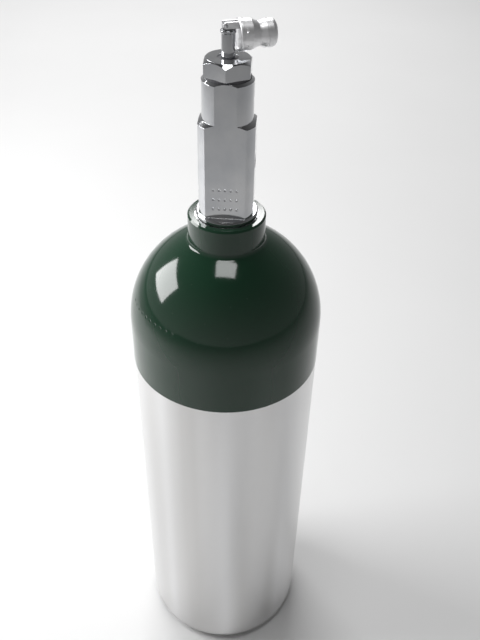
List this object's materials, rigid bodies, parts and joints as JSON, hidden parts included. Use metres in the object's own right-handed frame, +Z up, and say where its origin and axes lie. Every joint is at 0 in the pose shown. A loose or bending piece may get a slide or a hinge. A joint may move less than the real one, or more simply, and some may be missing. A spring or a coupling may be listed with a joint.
{
  "type": "oxygen cylinder",
  "caption": "Small portable oxygen cylinder: aluminium vessel with a green enamelled shoulder and a chromed pin-index post valve opened by a fold-up toggle handle on its stem.",
  "frame": {"origin": "centre of the ring that the cylinder stands on, on the floor", "axes": "+Z up along the cylinder to the valve; -Y is the side that the post valve's plain front flat faces; -X is the side of the gas outlet and index holes; +X is the side of the yoke-screw dimple"},
  "size_m": [0.1116, 0.1116, 0.4455],
  "materials": {
    "shell_aluminium": "fine brushed satin, lacquer free",
    "green_enamel": "glossy baked enamel, deep bottle green",
    "chromed_brass": "bright chrome plate over brass",
    "polished_steel": "polished stainless steel",
    "satin_nickel": "satin nickel over die casting",
    "bare_brass": "machined brass",
    "sintered_bronze": "grainy sintered bronze",
    "copper_foil": "rolled copper",
    "black_rubber": "moulded rubber",
    "white_polymer": "oxygen-safe fluoropolymer",
    "dark_fibre": "dark gasket sheet"
  },
  "bodies": {
    "cylinder": {"cylinder_shell": "shell_aluminium", "shoulder_enamel": "green_enamel", "neck_o_ring": "black_rubber", "valve_body": "chromed_brass", "dip_tube": "bare_brass", "inlet_filter": "sintered_bronze", "relief_plug": "bare_brass", "burst_disc": "copper_foil", "disc_gasket": "dark_fibre", "gland_nut": "chromed_brass", "gland_gasket": "dark_fibre", "thrust_washer": "white_polymer", "stem_o_ring": "black_rubber", "back_up_ring": "white_polymer", "dust_ring": "dark_fibre"},
    "spindle": {"stem": "polished_steel"},
    "plug": {"seat_plug": "bare_brass", "seat_disc": "white_polymer", "plug_o_ring": "black_rubber"},
    "handle": {"toggle_handle": "satin_nickel", "toggle_pivot_pin": "polished_steel"}
  },
  "joints": [
    {"name": "stem_turn", "type": "hinge", "parent": "cylinder", "child": "spindle", "pos_m": [0, 0, 0.41], "axis": [0, 0, 1], "range_deg": [0, 450]},
    {"name": "plug_lift", "type": "slide", "parent": "spindle", "child": "plug", "axis": [0, 0, 1], "range_m": [0, 0.0016]},
    {"name": "toggle_fold", "type": "hinge", "parent": "spindle", "child": "handle", "pos_m": [-0.00122, -0.00044, 0.44285], "axis": [0.342, -0.9397, 0], "range_deg": [0, 90]}
  ],
  "couplings": [
    {"joint": "plug_lift", "follows": "stem_turn", "m_per_rad": 0.00019894}
  ]
}
